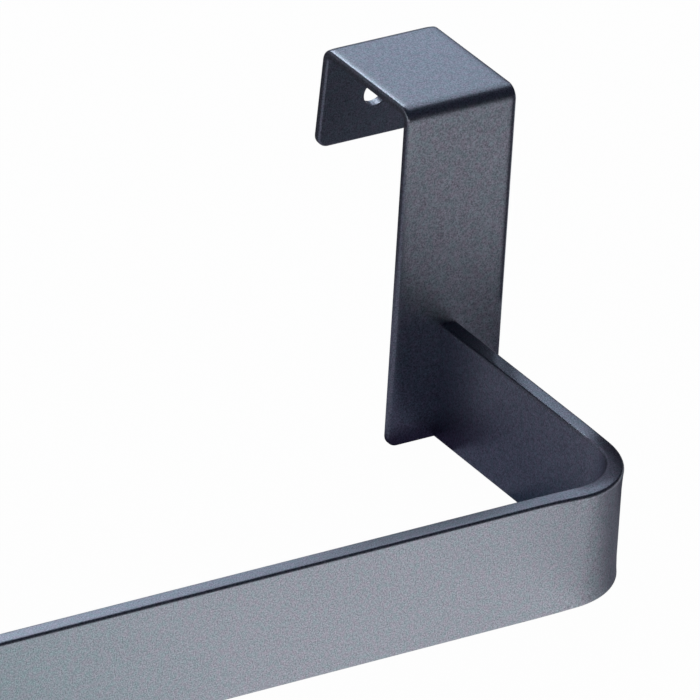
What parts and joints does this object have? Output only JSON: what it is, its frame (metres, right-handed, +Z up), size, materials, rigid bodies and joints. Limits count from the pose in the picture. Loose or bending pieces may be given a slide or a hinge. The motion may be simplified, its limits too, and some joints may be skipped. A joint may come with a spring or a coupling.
{
  "type": "side towel rail",
  "caption": "Flat bar bent to a shallow U on edge, welded to hook-over brackets that hang it on the edge of a board.",
  "frame": {"origin": "centre of the footprint, level with the bottom edges of the rail and of the long legs", "axes": "+X along the rail to its right-hand end seen from the front, +Y from the rail back to the hooks, +Z up"},
  "size_m": [0.434, 0.1662, 0.118],
  "materials": {
    "satin_anthracite": "satin anthracite powder coating with a fine metallic grain"
  },
  "bodies": {
    "root": {"rail_bar": "satin_anthracite", "hook_bracket_right": "satin_anthracite", "hook_bracket_left": "satin_anthracite", "weld_right": "satin_anthracite", "weld_left": "satin_anthracite"}
  },
  "joints": []
}
